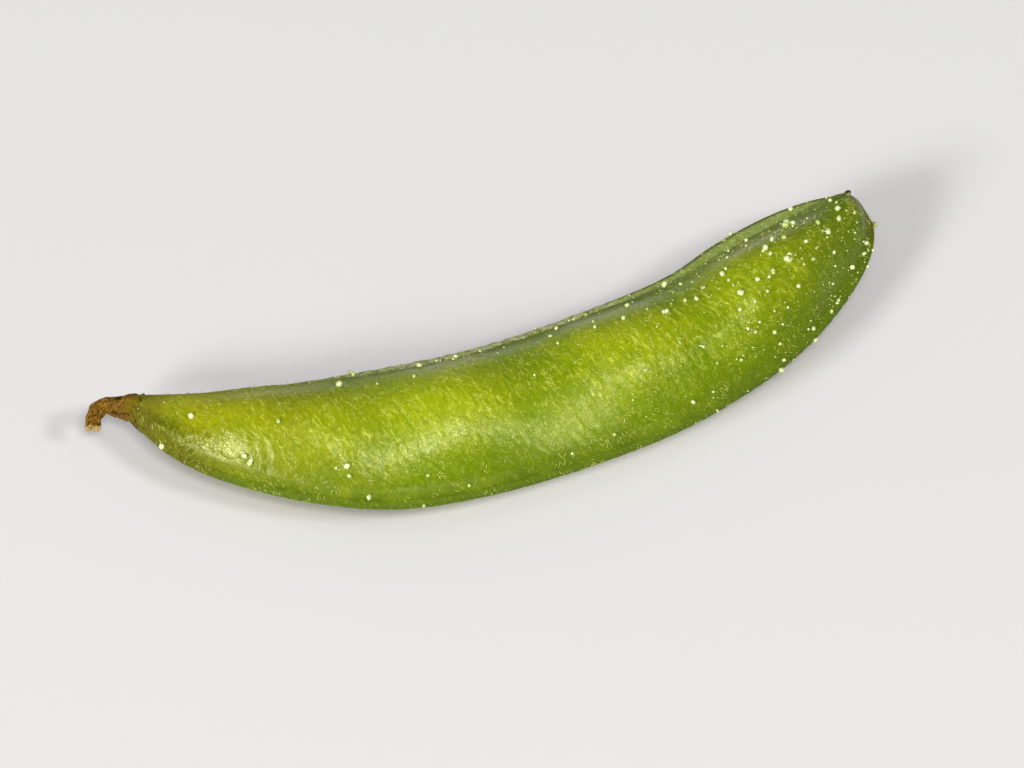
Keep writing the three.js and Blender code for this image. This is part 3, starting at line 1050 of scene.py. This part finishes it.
# A cube with its edges and corners cut off: three points beside each of its eight corners. Its
# faces are the cube's own, the corners' triangles and the edges' quads.
def grainShape(cut=0.42):
    signs = np.array([(x, y, z) for x in (-1, 1) for y in (-1, 1) for z in (-1, 1)])
    points = np.where(np.eye(3), signs[:, None], signs[:, None] * (1 - cut)).reshape(-1, 3)
    faces = []
    for axis in range(3):
        for side in (-1, 1):
            ring = np.flatnonzero(signs[:, axis] == side)[[0, 1, 3, 2]]
            faces.append([3 * corner + axis for corner in ring])
    for a in range(8):
        faces.append([3 * a, 3 * a + 1, 3 * a + 2])
        for b in range(a + 1, 8):
            same = np.flatnonzero(signs[a] == signs[b])
            if len(same) == 2:
                p, q = same
                faces.append([3 * a + p, 3 * a + q, 3 * b + q, 3 * b + p])
    for n, face in enumerate(faces):
        first, second, third = points[face[:3]]
        if np.cross(second - first, third - first) @ first < 0:
            faces[n] = face[::-1]
    return points, faces


# Grains lie on the upper side: few at the stalk, some along the straight seam, most towards
# the beak. Some sit together in small clusters.
def saltMesh():
    plan, count = saltPlan, saltPlan["count"]
    rng = np.random.default_rng(plan["seed"])

    # Only where the skin faces up, more past the middle of the length.
    def density(s, angle):
        facing = rise(np.sin(angle), -0.25, 0.25)
        seam = straightBand(s, angle, 0.8, 1.4)
        towardsBeak = rise(s, 0.5, 0.9) * (1 - 0.65 * seam)
        return facing * (0.12 + 1.6 * towardsBeak + 0.3 * seam * bell(s, 0.45, 0.2))

    s, angle = scatter(rng, plan["tries"], count, density)
    head = rng.choice(count, plan["clusters"], replace=False)
    joins = rng.uniform(size=count) < plan["clustered"]
    chosen = head[rng.integers(plan["clusters"], size=count)]
    spread = plan["clusterSpread"] * rng.normal(size=(2, count))
    s = np.where(joins, s[chosen] + spread[0] / podLength, s)
    angle = np.where(joins, angle[chosen] + spread[1] / 6, angle)
    smallest, largest = plan["size"]
    size = smallest + (largest - smallest) * rng.uniform(size=count) ** plan["smallness"]
    spot, normal = podSkin(s, angle)
    shape, pattern = grainShape()
    points = shape[None] * rng.uniform(*plan["stretch"], (count, 1, 3))
    points = points + plan["uneven"] * rng.normal(size=(count, len(shape), 3))
    turns = np.array([Quaternion(turn).to_matrix() for turn in unit(rng.normal(size=(count, 4)))])
    points = np.einsum("nij,nkj->nki", turns, points) * size[:, None, None] / 2
    points = placed(points + (spot + normal * size[:, None] * plan["raised"])[:, None, :])
    faces = [[n * len(shape) + p for p in face] for n in range(count) for face in pattern]
    corners = sum(len(face) for face in pattern)
    cloud = np.repeat(rng.uniform(0.02, 0.98, count), corners)
    cornerMap = np.stack([cloud, 0.5 + 0 * cloud], 1)
    return makeMesh("salt_grains", points.reshape(-1, 3), faces, cornerMap)


salt = saltMesh()

saltLook = {"white": (0.68, 0.75, 0.36), "clear": (0.44, 0.54, 0.12)}


# Clear and white grains: half by the grain, the rest by clouds within it.
def saltMaterial():
    made = Recipe("salt crystal", saltLook)
    given = made.add("ShaderNodeSeparateXYZ", Vector=made.coordinates("UV"))
    cloud = made.noise(0.16, 2, 0.5)
    share = made.plus(made.times(given.outputs["X"], 0.5), made.times(cloud, 0.6))
    made.colour = made.blend(made.ramp(share, 0.3, 0.6), "clear", "white")
    return made.finish(
        Base_Color=made.colour, Roughness=0.22, IOR=1.54,
        Subsurface_Weight=0.35, Subsurface_Scale=0.3 * mm, Subsurface_Radius=(1.0, 1.0, 1.0),
    )


salt.data.materials.append(saltMaterial())
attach(salt, "root")
print("salt made")

# The table, the sky, the panels of light and the camera.
studio = {
    "floorSize": 4.0,
    "floorColour": (0.70, 0.678, 0.673),
    "floorShade": 0.985,  # the darkest that the floor's soft patches make it
    "floorPatch": 50,  # millimetres
    "skyColour": (0.92, 0.93, 0.96),
    "skyStrength": 0.24,
    "lights": [  # name, place, width, height, watts
        ("leftPanel", (-1.02, -0.54, 0.58), 0.34, 0.30, 11.8),
        ("frontPanel", (-0.14, -0.70, 1.10), 0.34, 0.17, 7.4),
        ("rightPanel", (0.50, -0.70, 0.97), 0.22, 0.20, 4.6),
        ("softPanel", (0.00, -0.40, 1.30), 1.10, 0.60, 1.6),
    ],
    "elevation": 52,
    "azimuth": -19.4,
    "lens": 250,
    "sensor": 36,
    "frameWidth": 0.076,  # metres across the picture at the pod
    "clip": (0.01, 20),
}


# A pale, nearly even square.
def makeFloor():
    corners = np.array([(-1, -1, 0), (1, -1, 0), (1, 1, 0), (-1, 1, 0)])
    floor = makeMesh("table", corners * studio["floorSize"] / 2 / mm, [[0, 1, 2, 3]])
    pale = studio["floorColour"]
    shaded = tuple(studio["floorShade"] * part for part in pale)
    made = Recipe("pale table", {"pale": pale, "shaded": shaded})
    tone = made.blend(made.noise(studio["floorPatch"], 2, 0.5), "pale", "shaded")
    floor.data.materials.append(made.finish(Base_Color=tone, Roughness=1.0, IOR=1.1))


# Panels of light that face the pod, and an even sky.
def makeLights(target):
    for name, place, width, height, watts in studio["lights"]:
        lamp = bpy.data.lights.new(name, "AREA")
        lamp.shape, lamp.size, lamp.size_y, lamp.energy = "RECTANGLE", width, height, watts
        made = addObject(name, lamp)
        made.location = place
        made.rotation_euler = (target - Vector(place)).to_track_quat("-Z", "Y").to_euler()
    world = bpy.data.worlds.new("studio sky")
    world.use_nodes = True
    sky = world.node_tree.nodes["Background"]
    sky.inputs["Color"].default_value = (*studio["skyColour"], 1)
    sky.inputs["Strength"].default_value = studio["skyStrength"]
    bpy.context.scene.world = world


# The camera looks at the pod from so far that the frame's width is that at the pod: the
# distance is the width times the lens over the sensor.
def makeCamera(target):
    up, turn = math.radians(studio["elevation"]), math.radians(studio["azimuth"])
    back = Vector((math.sin(turn) * math.cos(up), -math.cos(turn) * math.cos(up), math.sin(up)))
    eye = bpy.data.cameras.new("camera")
    eye.lens, eye.sensor_width = studio["lens"], studio["sensor"]
    eye.clip_start, eye.clip_end = studio["clip"]
    made = addObject("camera", eye)
    made.location = target + back * (studio["frameWidth"] * studio["lens"] / studio["sensor"])
    made.rotation_euler = (-back).to_track_quat("-Z", "Y").to_euler()
    bpy.context.scene.camera = made


middle = (cadBox[0] + cadBox[1]) / 2
makeFloor()
makeLights(middle)
makeCamera(middle)
bpy.context.scene.view_settings.view_transform = "Standard"
print("studio ready")
